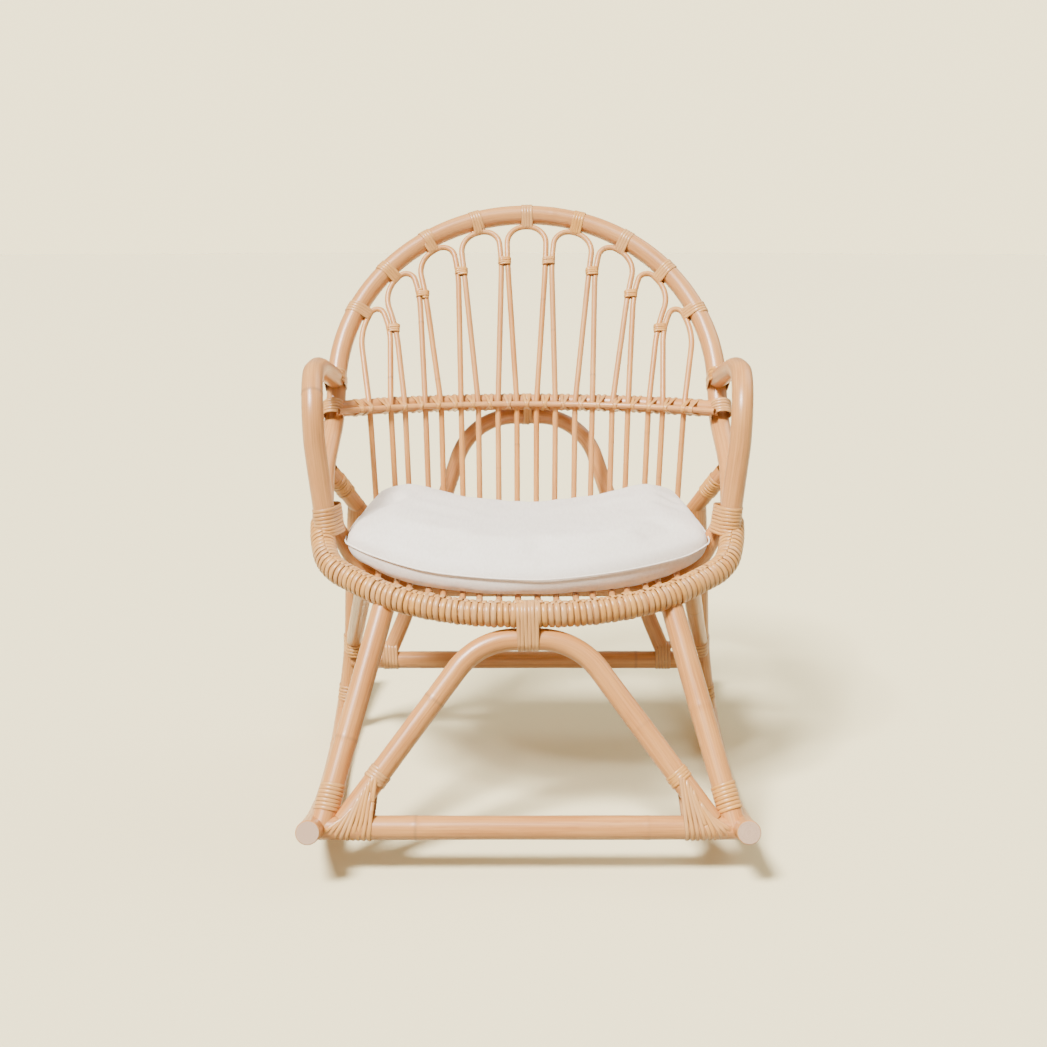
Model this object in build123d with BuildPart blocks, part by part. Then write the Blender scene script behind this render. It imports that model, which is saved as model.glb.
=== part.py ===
"""A child's rattan rocking chair: bent poles lashed with peel, cane loops and a loose cushion.

Millimetres. The chair faces -Y, +X is its own left side, and the origin is on the floor
under the middle of the runners.
"""
import os
from math import cos, radians, sin, sqrt, tan

from build123d import *

os.makedirs("parts", exist_ok=True)

# Driving dimensions
pole_radius = 11.0
light_radius = 10.0
thin_radius = 9.0
cane_radius = 3.25
peel = 1.5
gap = 0.2

runner_bend = 900.0
runner_reach = 290.0
runner_half_gap_front = 197.0
runner_half_gap_rear = 221.5
front_foot_y = -250.0
rear_foot_y = 142.0

arch_crown = (0, -180, 206)
arch_corner_x = 46.0
arch_foot_x = 173.6
rear_crown = (0, 181, 371)
rear_corner_x = 64.0
rear_arch_foot_x = 164.0
rear_stretcher_y = 133.0
rear_stretcher_z = 90.0

recline = 31.0
hoop_radius = 214.0
hoop_centre = Vector(0, 134, 417)
rail_joint = Vector(210, -41, 292)
waist_height = 389.0
waist_end = (215, 100, waist_height)
waist_middle_y = 168.0

middle_bow_end = (203, -38, 297)
middle_bow_corner = (165, -34, 219)
rear_bow_end = (213, 42, 331)
rear_bow_corner = (160, 117, 233)
bow_bend = 75.0

loop_radius = hoop_radius - pole_radius - cane_radius - gap
loop_spacing = 16.4
loop_half_angle = 6.6
loop_bend = 20.0
tie_spacing = 19.0
seat_corner_bend = 50.0
waist_corner_bend = 60.0
nail_radius = 1.6
seat_height = 219 + thin_radius + cane_radius + gap

front_leg_foot = (188.5, -247, 53)
front_leg_head = (136, -139, 240)
rear_leg_knee = (197, 110, 200)
rear_leg_head = (189, 79, 284)

cushion_width = 378.0
cushion_taper = 34.0
cushion_front = -166.0
cushion_front_corner = -74.0
cushion_rear_corner = 96.0
cushion_rear = 112.0
cushion_low = 241.0
cushion_edge = 279.0
cushion_high = 303.0

up_the_back = Vector(0, sin(radians(recline)), cos(radians(recline)))


def mirrored(point, side):
    """A point of the +X side, moved to the side asked for."""
    spot = Vector(*point)
    return Vector(side * spot.X, spot.Y, spot.Z)


def both_sides(points):
    """A half route from the +X end to the middle, completed by its mirror image."""
    left = [mirrored(point, -1) for point in reversed(points)]
    return [mirrored(point, 1) for point in points] + left


def on_back(angle, radius):
    """A point in the reclined plane of the hoop, by its angle from the top."""
    across = Vector(radius * sin(radians(angle)), 0, 0)
    return hoop_centre + across + up_the_back * (radius * cos(radians(angle)))


def bends(points, share=0.48, limit=400):
    """Bend radii that let each arc fill most of the runs beside it."""
    radii = []
    for before, corner, after in zip(points, points[1:], points[2:]):
        arriving = corner - before
        leaving = after - corner
        turn = radians(arriving.get_angle(leaving))
        run = min(arriving.length, leaving.length)
        radii.append(min(limit, share * run / tan(turn / 2)))
    return radii


def pole(route, radius):
    """Add a round pole along a route to the sub-part being built."""
    start = Plane(origin=route @ 0, z_dir=route % 0)
    with BuildSketch(start) as section:
        Circle(radius)
    sweep(sections=section.sketch, path=route)


def straight(start, end, radius):
    """Add a straight round pole to the sub-part being built."""
    with BuildLine() as axis:
        Line(start, end)
    pole(axis.wire(), radius)


def bent(points, radii, radius):
    """Add a pole of straight runs and tangent bends to the sub-part being built."""
    with BuildLine() as axis:
        FilletPolyline(*points, radius=radii)
    pole(axis.wire(), radius)


def cope(*neighbours):
    """Cut the seats of neighbouring pieces into the sub-part being built."""
    for neighbour in neighbours:
        add(neighbour.part, mode=Mode.SUBTRACT)


def band(centre, along, circles, width):
    """Add a lashing: the taut outline round some circles, given width along an axis."""
    plane = Plane(origin=centre, z_dir=along)
    with BuildSketch(plane) as outline:
        with BuildSketch(mode=Mode.PRIVATE) as rounds:
            for point, radius in circles:
                spot = plane.to_local_coords(Vector(*point))
                with Locations((spot.X, spot.Y)):
                    Circle(radius + peel)
        if len(circles) > 1:
            make_hull(rounds.sketch.edges())
        else:
            add(rounds.sketch)
    extrude(outline.sketch, amount=width / 2, both=True)


def export(piece, name):
    """Label a finished piece and write its STEP file."""
    piece.part.label = name
    export_step(piece.part, f"parts/{name}.step")


def runner_axis(side, y):
    """The runner's centre line at a station along the chair."""
    spread = (y + runner_reach) / (2 * runner_reach)
    x = runner_half_gap_front + spread * (runner_half_gap_rear - runner_half_gap_front)
    z = pole_radius + runner_bend - sqrt(runner_bend**2 - y**2)
    return Vector(side * x, y, z)


sides = {"left": 1, "right": -1}

# Places that several pieces share
stretcher_height = runner_axis(1, front_foot_y).Z
hoop_end = on_back(90, hoop_radius)
arm_rear_end = Vector(214, 122, 421)
arm_foot = Vector(203, -62, 284)
arm_post = Vector(213, -64, 375)
arm_lower = arm_post - arm_foot
rear_leg_foot = Vector(214.5, rear_foot_y, 24)
rear_leg_ankle = Vector(203, 133, 108)
rear_shin = rear_leg_ankle - rear_leg_foot
waist_bend = (waist_end[0] ** 2 + (waist_middle_y - waist_end[1]) ** 2) / (
    2 * (waist_middle_y - waist_end[1])
)
waist_arc_y = waist_middle_y - waist_bend


def waist_point(x, forward):
    """A point at a distance in front of the waist rail's centre line, across the chair."""
    radius = waist_bend - forward
    return Vector(x, waist_arc_y + sqrt(radius**2 - x**2), waist_height)


# Wire nails driven through one pole into the end of the next; the lashings hide them
nail_lines = [
    (Vector(208, front_foot_y, stretcher_height), Vector(166, front_foot_y, stretcher_height)),
    (Vector(213, rear_stretcher_y, rear_stretcher_z), Vector(172, rear_stretcher_y, rear_stretcher_z)),
    (rear_leg_foot - rear_shin * 0.06, rear_leg_foot + rear_shin * 0.4),
    (waist_point(220, 0), waist_point(184, 0)),
    (hoop_end + Vector(0, 6, -3), arm_rear_end + Vector(3, -22, 6.5)),
    (arm_foot - arm_lower * 0.06, arm_foot + arm_lower * 0.3),
]
with BuildPart() as joint_nails:
    for start, end in nail_lines:
        for side in sides.values():
            straight(mirrored(start, side), mirrored(end, side), nail_radius)
export(joint_nails, "joint_nails")

# Runners
with BuildPart() as left_runner:
    with BuildLine() as rocker:
        stations = (-runner_reach, 0, runner_reach)
        ThreePointArc(*[runner_axis(1, y) for y in stations])
    pole(rocker.wire(), pole_radius)
    cope(joint_nails)
    chamfer(left_runner.faces().sort_by(Axis.Y)[0].edges(), 1.2)
    chamfer(left_runner.faces().sort_by(Axis.Y)[-1].edges(), 1.2)
export(left_runner, "left_runner")

with BuildPart() as right_runner:
    mirror(left_runner.part, about=Plane.YZ)
export(right_runner, "right_runner")
runners = {"left": left_runner, "right": right_runner}

# Seat front rail, from joint to joint, and the back hoop that continues it
rail_points = both_sides(
    [rail_joint, (207.6, -65, 279), (197, -106, 259), (132, -155, 239), (56, -179.5, 230.5)]
)
with BuildPart() as seat_front_rail:
    bent(rail_points, bends(rail_points), pole_radius)
    cope(joint_nails)
export(seat_front_rail, "seat_front_rail")

with BuildPart() as seat_rail_winding:
    bent(rail_points, bends(rail_points), pole_radius + peel)
    cope(seat_front_rail, joint_nails)
export(seat_rail_winding, "seat_rail_winding")

hoop_side = [hoop_end, hoop_end - up_the_back * 46, Vector(218, 40, 335), rail_joint]
with BuildPart() as back_hoop:
    with BuildLine() as hoop_line:
        ThreePointArc(on_back(90, hoop_radius), on_back(0, hoop_radius), on_back(-90, hoop_radius))
        for side in sides.values():
            flank = [mirrored(point, side) for point in hoop_side]
            FilletPolyline(*flank, radius=bends(flank))
    pole(Wire(hoop_line.edges()), pole_radius)
    cope(seat_front_rail, joint_nails)
export(back_hoop, "back_hoop")

# Front legs, stretchers and arches
front_legs = {}
for word, side in sides.items():
    with BuildPart() as front_leg:
        straight(mirrored(front_leg_foot, side), mirrored(front_leg_head, side), pole_radius)
        cope(runners[word], seat_front_rail, seat_rail_winding, joint_nails)
    front_legs[word] = front_leg

with BuildPart() as front_stretcher:
    straight(runner_axis(1, front_foot_y), runner_axis(-1, front_foot_y), pole_radius)
    cope(runners["left"], runners["right"], joint_nails)
export(front_stretcher, "front_stretcher")

for word, front_leg in front_legs.items():
    with front_leg:
        cope(front_stretcher)
    export(front_leg, f"{word}_front_leg")

arch_points = both_sides(
    [(arch_foot_x - 4, front_foot_y + 2.2, stretcher_height + 5), (arch_corner_x, *arch_crown[1:])]
)
with BuildPart() as front_arch:
    bent(arch_points, 70, light_radius + 0.5)
    cope(front_stretcher, front_legs["left"], front_legs["right"], joint_nails)
export(front_arch, "front_arch")

# Rear seat bow and middle seat bow, which carry the canes of the bucket seat
rear_bow_points = both_sides([rear_bow_end, rear_bow_corner])
with BuildPart() as rear_seat_bow:
    bent(rear_bow_points, bow_bend, thin_radius)
    cope(back_hoop)
export(rear_seat_bow, "rear_seat_bow")

middle_bow_points = both_sides([middle_bow_end, middle_bow_corner])
with BuildPart() as middle_seat_bow:
    bent(middle_bow_points, bow_bend, thin_radius)
    cope(back_hoop, seat_front_rail, seat_rail_winding)
export(middle_seat_bow, "middle_seat_bow")

# Rear legs, rear stretcher, side braces and rear arch
rear_legs = {}
for word, side in sides.items():
    rear_leg_line = [rear_leg_foot, rear_leg_ankle, rear_leg_knee, rear_leg_head]
    rear_leg_line = [mirrored(point, side) for point in rear_leg_line]
    with BuildPart() as rear_leg:
        bent(rear_leg_line, bends(rear_leg_line), light_radius)
        cope(runners[word], rear_seat_bow, joint_nails)
    rear_legs[word] = rear_leg
    export(rear_leg, f"{word}_rear_leg")

with BuildPart() as rear_stretcher:
    stretcher_end = (205, rear_stretcher_y, rear_stretcher_z)
    straight(mirrored(stretcher_end, 1), mirrored(stretcher_end, -1), light_radius)
    cope(rear_legs["left"], rear_legs["right"], joint_nails)
export(rear_stretcher, "rear_stretcher")

side_braces = {}
for word, side in sides.items():
    with BuildPart() as side_brace:
        straight(mirrored((202, 132, 112), side), mirrored((160, -112, 246), side), thin_radius)
        cope(rear_legs[word], front_legs[word], seat_front_rail, seat_rail_winding)
        cope(middle_seat_bow)
    side_braces[word] = side_brace
    export(side_brace, f"{word}_side_brace")

rear_arch_points = both_sides(
    [
        (rear_arch_foot_x, rear_stretcher_y, rear_stretcher_z),
        (143, 141, 139),
        (rear_corner_x, rear_crown[1], rear_crown[2]),
    ]
)
with BuildPart() as rear_arch:
    bent(rear_arch_points, [300, 70, 70, 300], thin_radius)
    cope(rear_stretcher)
export(rear_arch, "rear_arch")

# Waist rail behind the canes, and the thin cane in front of them
with BuildPart() as waist_rail:
    with BuildLine() as waist_line:
        ThreePointArc(mirrored(waist_end, 1), (0, waist_middle_y, waist_height), mirrored(waist_end, -1))
    pole(waist_line.wire(), light_radius - 1)
    cope(back_hoop, joint_nails)
export(waist_rail, "waist_rail")

cane_forward = light_radius - 1 + cane_radius + gap
front_cane_forward = cane_forward + 2 * cane_radius + gap
with BuildPart() as waist_front_cane:
    with BuildLine() as front_cane_line:
        ThreePointArc(
            waist_point(206, front_cane_forward),
            waist_point(0, front_cane_forward),
            waist_point(-206, front_cane_forward),
        )
    pole(front_cane_line.wire(), cane_radius)
    cope(back_hoop)
export(waist_front_cane, "waist_front_cane")

# Arms
arms = {}
for word, side in sides.items():
    arm_points = [arm_rear_end, (223, 55, 441), (216, -62, 443), arm_post, arm_foot]
    arm_points = [mirrored(point, side) for point in arm_points]
    with BuildPart() as arm:
        bent(arm_points, [150, 56, 260], pole_radius)
        cope(back_hoop, seat_front_rail, seat_rail_winding, middle_seat_bow, joint_nails)
    arms[word] = arm
    export(arm, f"{word}_arm")


# Cane loops: each starts on the front rail, runs under the cushion and up the back,
# turns over below the hoop and comes back the same way
def waist_x(loop, edge):
    """Where a loop's leg crosses the waist rail; edge is +1 for its outer leg on +X."""
    order = abs(loop)
    centre = (45 - order) * loop
    return centre + edge * 11.2


def bow_rise(x):
    """How far the seat bows have risen at a distance from the middle."""
    flat = 118.0
    if abs(x) <= flat:
        return 0.0
    return bow_bend - sqrt(bow_bend**2 - (abs(x) - flat) ** 2)


def tie_point(tie, offset):
    """Where two neighbouring loops are tied together, below the hoop."""
    order = abs(tie) - 1
    angle = (9.5 + tie_spacing * order) * (1 if tie > 0 else -1)
    return on_back(angle, 155 + 3.7 * order) + Vector(offset, 0, 0)


def rail_station(x):
    """The front rail's centre line, taken as a half ellipse in plan and in height."""
    share = sqrt(1 - (x / 216) ** 2)
    return Vector(x, -62 - 117 * share, 276 - 45.5 * share)


def leg_points(loop, edge):
    """One leg of a cane loop, from the front rail up to its pair tie."""
    high_x = waist_x(loop, edge)
    front_x = 0.83 * high_x
    seat_x = 0.88 * high_x
    corner_x = 0.96 * high_x
    rail = rail_station(front_x)
    lift = bow_rise(seat_x)
    corner_lift = bow_rise(corner_x)
    points = [
        rail + Vector(0, 12.0, 9.5),
        Vector(seat_x, -34, seat_height + lift),
        Vector(corner_x, 119 - 0.62 * corner_lift, seat_height + 2 + 1.05 * corner_lift),
        waist_point(high_x, cane_forward),
    ]
    return points


def loop_points(loop):
    """The whole route of one cane loop."""
    inner = leg_points(loop, -1)
    outer = leg_points(loop, 1)
    first_tie = loop if loop > 0 else loop - 1
    second_tie = loop + 1 if loop >= 0 else loop
    crown = loop_spacing * loop
    if first_tie >= -4:
        inner.append(tie_point(first_tie, cane_radius + 0.1))
    if second_tie <= 4:
        outer.append(tie_point(second_tie, -cane_radius - 0.1))
    low_corner = on_back(crown - loop_half_angle, loop_radius)
    high_corner = on_back(crown + loop_half_angle, loop_radius)
    return inner + [low_corner, high_corner] + outer[::-1]


cane_loops = []
for loop in range(-4, 5):
    route = loop_points(loop)
    radii = bends(route, limit=260)
    radii[1] = min(radii[1], seat_corner_bend)
    radii[-2] = min(radii[-2], seat_corner_bend)
    radii[2] = min(radii[2], waist_corner_bend)
    radii[-3] = min(radii[-3], waist_corner_bend)
    with BuildPart() as cane_loop:
        bent(route, radii, cane_radius)
        cope(seat_rail_winding, seat_front_rail, rear_seat_bow, middle_seat_bow)
        cope(waist_rail, waist_front_cane)
    cane_loops.append(cane_loop)
    export(cane_loop, f"cane_loop_{loop + 5}")


# Lashings of rattan peel. Each is the taut band of one joint, cut to the poles inside it
def lashing(name, bands, *neighbours):
    """Build one node from the bands of a kind of joint and write it."""
    with BuildPart() as wraps:
        for centre, along, circles, width in bands:
            band(centre, along, circles, width)
        cope(joint_nails, *neighbours)
    export(wraps, name)
    return wraps


def on_both_sides(centre, along, circles, width):
    """The same band on the two sides of the chair."""
    bands = []
    for side in sides.values():
        rounds = [(mirrored(point, side), radius) for point, radius in circles]
        bands.append((mirrored(centre, side), mirrored(along, side), rounds, width))
    return bands


loop_bands = []
for loop in range(-4, 5):
    crown = loop_spacing * loop
    hoop_spot = on_back(crown, hoop_radius)
    along = on_back(crown + 90, 1) - hoop_centre
    circles = [(hoop_spot, pole_radius), (on_back(crown, loop_radius), cane_radius)]
    loop_bands.append((hoop_spot, along, circles, 15))
lashing("loop_ties", loop_bands, back_hoop, *cane_loops)

pair_bands = []
for tie in [-4, -3, -2, -1, 1, 2, 3, 4]:
    canes = [(tie_point(tie, offset * (cane_radius + 0.1)), cane_radius) for offset in (-1, 1)]
    pair_bands.append((tie_point(tie, 0), up_the_back, canes, 12))
lashing("pair_ties", pair_bands, *cane_loops)

crossings = sorted(waist_x(loop, edge) for loop in range(-4, 5) for edge in (-1, 1))
waist_bands = []
for here, there in zip(crossings, crossings[1:]):
    middle = (here + there) / 2
    if abs(middle) < 1:
        continue
    along = waist_point(there, 0) - waist_point(here, 0)
    circles = [
        (waist_point(middle, 0), light_radius - 1),
        (waist_point(middle, front_cane_forward), cane_radius),
    ]
    waist_bands.append((waist_point(middle, 0), along, circles, 7))
lashing("waist_ties", waist_bands, waist_rail, waist_front_cane, *cane_loops)

waist_joint = Vector(*waist_end)
lashing(
    "waist_end_lashings",
    on_both_sides(waist_joint, (0, 0.63, 0.77), [(waist_joint, pole_radius)], 20),
    back_hoop,
    waist_rail,
    waist_front_cane,
)

leg_along = Vector(-54, 111, 192).normalized()
leg_spot = Vector(190, front_foot_y, 48) + leg_along * 27
front_foot_lashings = lashing(
    "front_foot_lashings",
    on_both_sides(leg_spot, leg_along, [(leg_spot, pole_radius)], 28),
    *front_legs.values(),
    front_arch,
    front_stretcher,
)

foot_spot = Vector(163, front_foot_y, stretcher_height)
lashing(
    "arch_foot_lashings",
    on_both_sides(
        foot_spot, (1, 0, 0), [(foot_spot, pole_radius), (Vector(163, -242, 66), light_radius)], 32
    ),
    front_arch,
    front_stretcher,
    *front_legs.values(),
    *runners.values(),
    front_foot_lashings,
)

arch_foot = Vector(arch_foot_x, front_foot_y, stretcher_height)
arch_along = (Vector(arch_corner_x, *arch_crown[1:]) - arch_foot).normalized()
coil_spot = arch_foot + arch_along * 50
lashing(
    "arch_leg_coils",
    on_both_sides(coil_spot, arch_along, [(coil_spot, light_radius + 0.5)], 18),
    front_arch,
    front_stretcher,
)

rail_crown = Vector(0, -179.5, 230.5)
lashing(
    "arch_crown_lashing",
    [
        (
            rail_crown,
            Vector(1, 0, 0),
            [(rail_crown, pole_radius + peel), (Vector(*arch_crown), light_radius + 0.5)],
            24,
        )
    ],
    seat_front_rail,
    seat_rail_winding,
    front_arch,
    *cane_loops,
)

arm_along = arm_lower.normalized()
arm_spot = arm_foot + arm_along * 12
lashing(
    "arm_foot_lashings",
    on_both_sides(
        arm_spot, arm_along, [(arm_spot, pole_radius), (arm_spot + Vector(-5, 10, 0), pole_radius)], 32
    ),
    *arms.values(),
    seat_front_rail,
    seat_rail_winding,
    back_hoop,
    middle_seat_bow,
)

arm_rear_spot = hoop_end - up_the_back * 4
lashing(
    "arm_rear_lashings",
    on_both_sides(
        arm_rear_spot,
        up_the_back,
        [(arm_rear_spot, pole_radius), (arm_rear_spot + Vector(0, -17, 8), pole_radius)],
        18,
    ),
    back_hoop,
    *arms.values(),
)

bow_along = (Vector(*rear_bow_corner) - Vector(*rear_bow_end)).normalized()
bow_spot = Vector(*rear_bow_end) + bow_along * 27
lashing(
    "rear_bow_end_lashings",
    on_both_sides(bow_spot, bow_along, [(bow_spot, thin_radius)], 26),
    rear_seat_bow,
    back_hoop,
)

ankle_along = (Vector(*rear_leg_knee) - rear_leg_ankle).normalized()
lashing(
    "brace_lashings",
    on_both_sides(
        rear_leg_ankle + ankle_along * 4,
        ankle_along,
        [(rear_leg_ankle + ankle_along * 4, light_radius), ((200, 122, 118), thin_radius)],
        22,
    ),
    *rear_legs.values(),
    *side_braces.values(),
    rear_stretcher,
)

rear_arch_spot = Vector(160, rear_stretcher_y, rear_stretcher_z)
lashing(
    "rear_arch_foot_lashings",
    on_both_sides(
        rear_arch_spot,
        (1, 0, 0),
        [(rear_arch_spot, light_radius), (rear_arch_spot + Vector(0, 2, 12), thin_radius)],
        22,
    ),
    rear_stretcher,
    rear_arch,
)

rear_foot_along = rear_shin.normalized()
rear_foot_spot = rear_leg_foot + rear_foot_along * 26
lashing(
    "rear_foot_lashings",
    on_both_sides(rear_foot_spot, rear_foot_along, [(rear_foot_spot, light_radius)], 22),
    *rear_legs.values(),
    *runners.values(),
)

lashing(
    "rear_arch_crown_lashing",
    [
        (
            Vector(0, waist_middle_y, waist_height),
            Vector(1, 0, 0),
            [
                (Vector(0, waist_middle_y, waist_height), light_radius - 1),
                (Vector(*rear_crown), thin_radius),
            ],
            5,
        )
    ],
    waist_rail,
    rear_arch,
    waist_front_cane,
    *cane_loops,
)


# Loose cushion: a plain closed body, narrow below, widest at its seam
def cushion_outline(inset, height):
    """One level of the cushion: bowed front and back, straight sides."""
    half_front = cushion_width / 2 - inset
    half_rear = half_front - cushion_taper
    front_corner_y = cushion_front_corner + inset * 0.4
    rear_corner_y = cushion_rear_corner - inset
    with BuildSketch(Plane.XY.offset(height)) as level:
        with BuildLine():
            ThreePointArc(
                (-half_front, front_corner_y),
                (0, cushion_front + inset),
                (half_front, front_corner_y),
            )
            Line((half_front, front_corner_y), (half_rear, rear_corner_y))
            ThreePointArc(
                (half_rear, rear_corner_y),
                (0, cushion_rear - inset),
                (-half_rear, rear_corner_y),
            )
            Line((-half_rear, rear_corner_y), (-half_front, front_corner_y))
        make_face()
    return level.sketch


with BuildPart() as seat_cushion:
    loft(sections=[cushion_outline(58, cushion_low), cushion_outline(0, cushion_edge)], ruled=True)
    loft(sections=[cushion_outline(0, cushion_edge), cushion_outline(26, cushion_high)], ruled=True)
export(seat_cushion, "seat_cushion")
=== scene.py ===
"""Looks of a child's rattan rocking chair: grained poles and canes, wound peel lashings
and a stuffed cotton cushion. Sizes are millimetres until a mesh is written in metres."""

import math
import random

import bmesh
import bpy
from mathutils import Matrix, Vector, noise


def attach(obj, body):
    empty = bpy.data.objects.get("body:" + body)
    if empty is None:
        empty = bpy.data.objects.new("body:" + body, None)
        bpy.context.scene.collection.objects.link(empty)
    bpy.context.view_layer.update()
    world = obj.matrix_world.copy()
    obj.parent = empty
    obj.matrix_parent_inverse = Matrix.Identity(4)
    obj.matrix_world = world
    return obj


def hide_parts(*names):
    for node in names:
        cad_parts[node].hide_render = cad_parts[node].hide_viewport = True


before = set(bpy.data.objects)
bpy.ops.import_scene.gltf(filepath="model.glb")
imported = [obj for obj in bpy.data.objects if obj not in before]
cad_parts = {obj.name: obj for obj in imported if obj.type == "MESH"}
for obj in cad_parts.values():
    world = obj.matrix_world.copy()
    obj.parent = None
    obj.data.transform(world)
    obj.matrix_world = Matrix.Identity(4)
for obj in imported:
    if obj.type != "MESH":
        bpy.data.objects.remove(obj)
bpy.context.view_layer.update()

MM = 0.001
rng = random.Random(7)

# Driving dimensions, the same as the frame's
pole_radius = 11.0
light_radius = 10.0
thin_radius = 9.0
cane_radius = 3.25
gap = 0.2
runner_bend = 900.0
runner_reach = 290.0
runner_half_gap_front = 197.0
runner_half_gap_rear = 221.5
front_foot_y = -250.0
arch_crown = Vector((0, -180, 206))
arch_corner_x = 46.0
arch_foot = Vector((169.6, -247.8, 51.4))
rear_crown = Vector((0, 181, 371))
rear_corner_x = 64.0
rear_stretcher_y = 133.0
rear_stretcher_z = 90.0
recline = math.radians(31)
hoop_radius = 214.0
hoop_centre = Vector((0, 134, 417))
rail_joint = Vector((210, -41, 292))
waist_height = 389.0
waist_end = Vector((215, 100, waist_height))
waist_middle_y = 168.0
bow_bend = 75.0
loop_radius = hoop_radius - pole_radius - cane_radius - gap
loop_spacing = 16.4
loop_half_angle = 6.6
seat_height = 219 + thin_radius + cane_radius + gap
arm_rear_end = Vector((214, 122, 421))
arm_foot = Vector((203, -62, 284))
arm_post = Vector((213, -64, 375))
rear_leg_foot = Vector((214.5, 142, 24))
rear_leg_ankle = Vector((203, 133, 108))
rear_leg_knee = Vector((197, 110, 200))
rear_leg_head = Vector((189, 79, 284))
rear_bow_end = Vector((213, 42, 331))
rear_bow_corner = Vector((160, 117, 233))
middle_bow_end = Vector((203, -38, 297))
middle_bow_corner = Vector((165, -34, 219))
loops = range(-4, 5)
last_tie = 4
hook_share = 0.83
seat_share = 0.88
corner_share = 0.96
peel_width = 4.4
peel_thickness = 1.1
rail_peel = 1.5
sides = {"left": 1, "right": -1}

up_the_back = Vector((0, math.sin(recline), math.cos(recline)))
hoop_end = hoop_centre + Vector((hoop_radius, 0, 0))


# ---- Routes ----

def mirrored(point, side):
    """A point of the +X side, moved to the side asked for."""
    x, y, z = point
    return Vector((side * x, y, z))


def both_sides(points):
    """A half route from the +X end to the middle, completed by its mirror image."""
    far = [mirrored(point, -1) for point in reversed(points)]
    return [Vector(point) for point in points] + far


def on_back(angle, radius):
    """A point in the reclined plane of the hoop, by its angle in degrees from the top."""
    turn = math.radians(angle)
    across = Vector((radius * math.sin(turn), 0, 0))
    return hoop_centre + across + up_the_back * (radius * math.cos(turn))


def bends(points, share=0.48, limit=400):
    """Bend radii that let each arc fill most of the runs beside it."""
    radii = []
    for before, corner, after in zip(points, points[1:], points[2:]):
        turn = (corner - before).angle(after - corner)
        run = min((corner - before).length, (after - corner).length)
        radii.append(min(limit, share * run / math.tan(turn / 2)))
    return radii


def rounded(points, radii):
    """Straight runs joined by tangent arcs, as a list of points."""
    route = [points[0].copy()]
    for before, corner, after, radius in zip(points, points[1:], points[2:], radii):
        arriving = (corner - before).normalized()
        leaving = (after - corner).normalized()
        turn = arriving.angle(leaving)
        reach = radius * math.tan(turn / 2)
        inward = (leaving - arriving).normalized()
        centre = corner + inward * (radius / math.cos(turn / 2))
        spoke = corner - arriving * reach - centre
        steps = max(3, int(radius * turn / 3))
        for step in range(steps + 1):
            angle = turn * step / steps
            route.append(centre + spoke * math.cos(angle) + arriving * (radius * math.sin(angle)))
    route.append(points[-1].copy())
    return route


def evenly(route, step):
    """The same route with points at equal distances."""
    lengths = [0.0]
    for here, there in zip(route, route[1:]):
        lengths.append(lengths[-1] + (there - here).length)
    count = max(2, int(lengths[-1] / step))
    result = []
    index = 0
    for number in range(count + 1):
        target = lengths[-1] * number / count
        while index < len(route) - 2 and lengths[index + 1] < target:
            index += 1
        run = lengths[index + 1] - lengths[index]
        share = (target - lengths[index]) / run if run > 1e-9 else 0.0
        result.append(route[index].lerp(route[index + 1], share))
    return result


def frames(route):
    """A direction and two steady cross directions at every point of a route."""
    result = []
    normal = None
    for index in range(len(route)):
        before = route[max(0, index - 1)]
        after = route[min(len(route) - 1, index + 1)]
        along = (after - before).normalized()
        if normal is None:
            seed = Vector((0, 0, 1)) if abs(along.z) < 0.8 else Vector((0, 1, 0))
            normal = seed
        normal = (normal - along * normal.dot(along)).normalized()
        result.append((along, normal.copy(), along.cross(normal)))
    return result


def arc_through(centre, first, second, start, end, step=3):
    """An arc in the plane of two unit directions, between two angles in radians."""
    radius = first.length
    count = max(4, int(radius * abs(end - start) / step))
    points = []
    for number in range(count + 1):
        angle = start + (end - start) * number / count
        points.append(centre + first * math.cos(angle) + second * math.sin(angle))
    return points


def runner_axis(side, y):
    """The runner's centre line at a station along the chair."""
    spread = (y + runner_reach) / (2 * runner_reach)
    x = runner_half_gap_front + spread * (runner_half_gap_rear - runner_half_gap_front)
    z = pole_radius + runner_bend - math.sqrt(runner_bend**2 - y**2)
    return Vector((side * x, y, z))


waist_sag = waist_middle_y - waist_end.y
waist_bend = (waist_end.x**2 + waist_sag**2) / (2 * waist_sag)


def waist_point(x, forward):
    """A point in front of the waist rail's centre line, across the chair."""
    radius = waist_bend - forward
    return Vector((x, waist_middle_y - waist_bend + math.sqrt(radius**2 - x**2), waist_height))


def waist_x(loop, edge):
    """Where a loop's leg crosses the waist rail."""
    return (45 - abs(loop)) * loop + edge * 11.2


def bow_rise(x):
    """How far the seat bows have risen at a distance from the middle."""
    flat = 118.0
    if abs(x) <= flat:
        return 0.0
    return bow_bend - math.sqrt(bow_bend**2 - (abs(x) - flat) ** 2)


def tie_point(tie, offset):
    """Where two neighbouring loops are tied together, below the hoop."""
    order = abs(tie) - 1
    angle = (9.5 + 19.0 * order) * (1 if tie > 0 else -1)
    return on_back(angle, 155 + 3.7 * order) + Vector((offset, 0, 0))


def rail_station(x):
    """The front rail's centre line, taken as a half ellipse."""
    share = math.sqrt(1 - (x / 216) ** 2)
    return Vector((x, -62 - 117 * share, 276 - 45.5 * share))


cane_forward = thin_radius + cane_radius + gap
front_cane_forward = cane_forward + 2 * cane_radius + gap


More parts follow.
